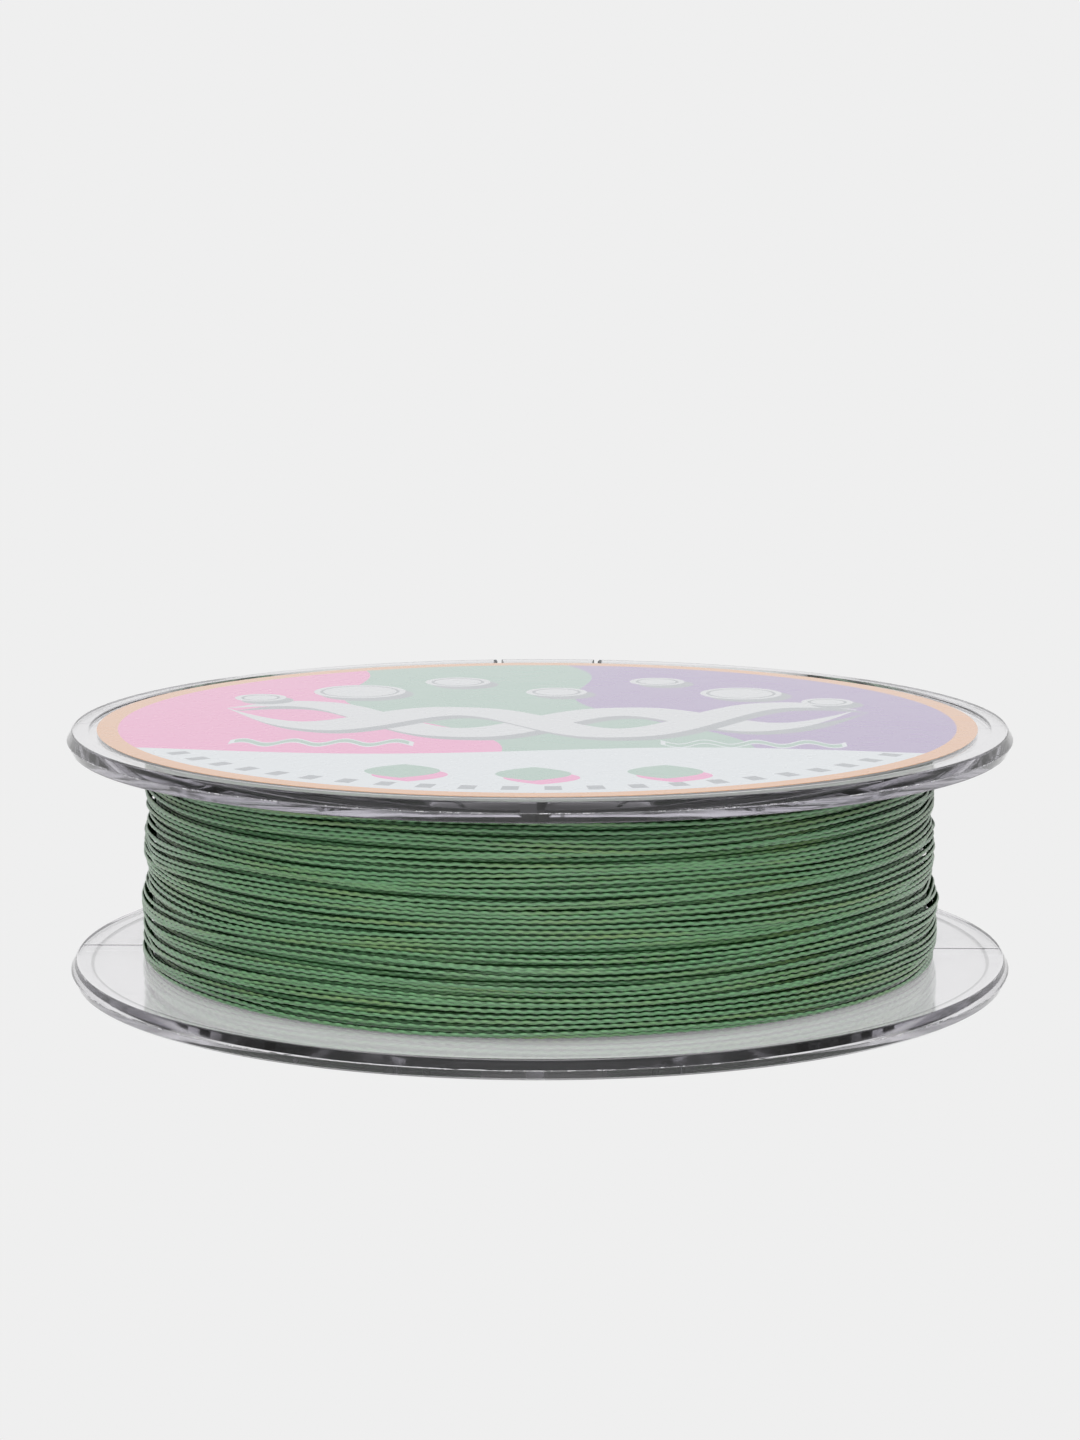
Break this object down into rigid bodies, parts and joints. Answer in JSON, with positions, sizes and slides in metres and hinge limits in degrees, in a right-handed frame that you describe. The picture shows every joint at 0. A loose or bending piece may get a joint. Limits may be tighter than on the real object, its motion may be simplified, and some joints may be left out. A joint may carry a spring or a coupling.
{
  "type": "fishing line spool",
  "caption": "Clear flanged line spool with a hollow ribbed drum, a wide hub bore under its round front label, and green braided line wound between its flanges.",
  "frame": {"origin": "centre of the rear rim's face, on the surface that the spool lies on", "axes": "+Z along the spool's axis from the rear flange to the front flange and its label, +X along the mould's split line, +Y towards the line keeper slits"},
  "size_m": [0.07, 0.07, 0.0186],
  "materials": {
    "clear_plastic": "polished",
    "label_print": "gloss",
    "tape_film": "satin",
    "braided_line": "satin"
  },
  "bodies": {
    "root": {"spool_body": "clear_plastic", "front_label": "label_print", "line_start_tape": "tape_film", "line_core": "braided_line", "line_outer_layer": "braided_line", "line_tag_end": "braided_line"}
  },
  "joints": []
}
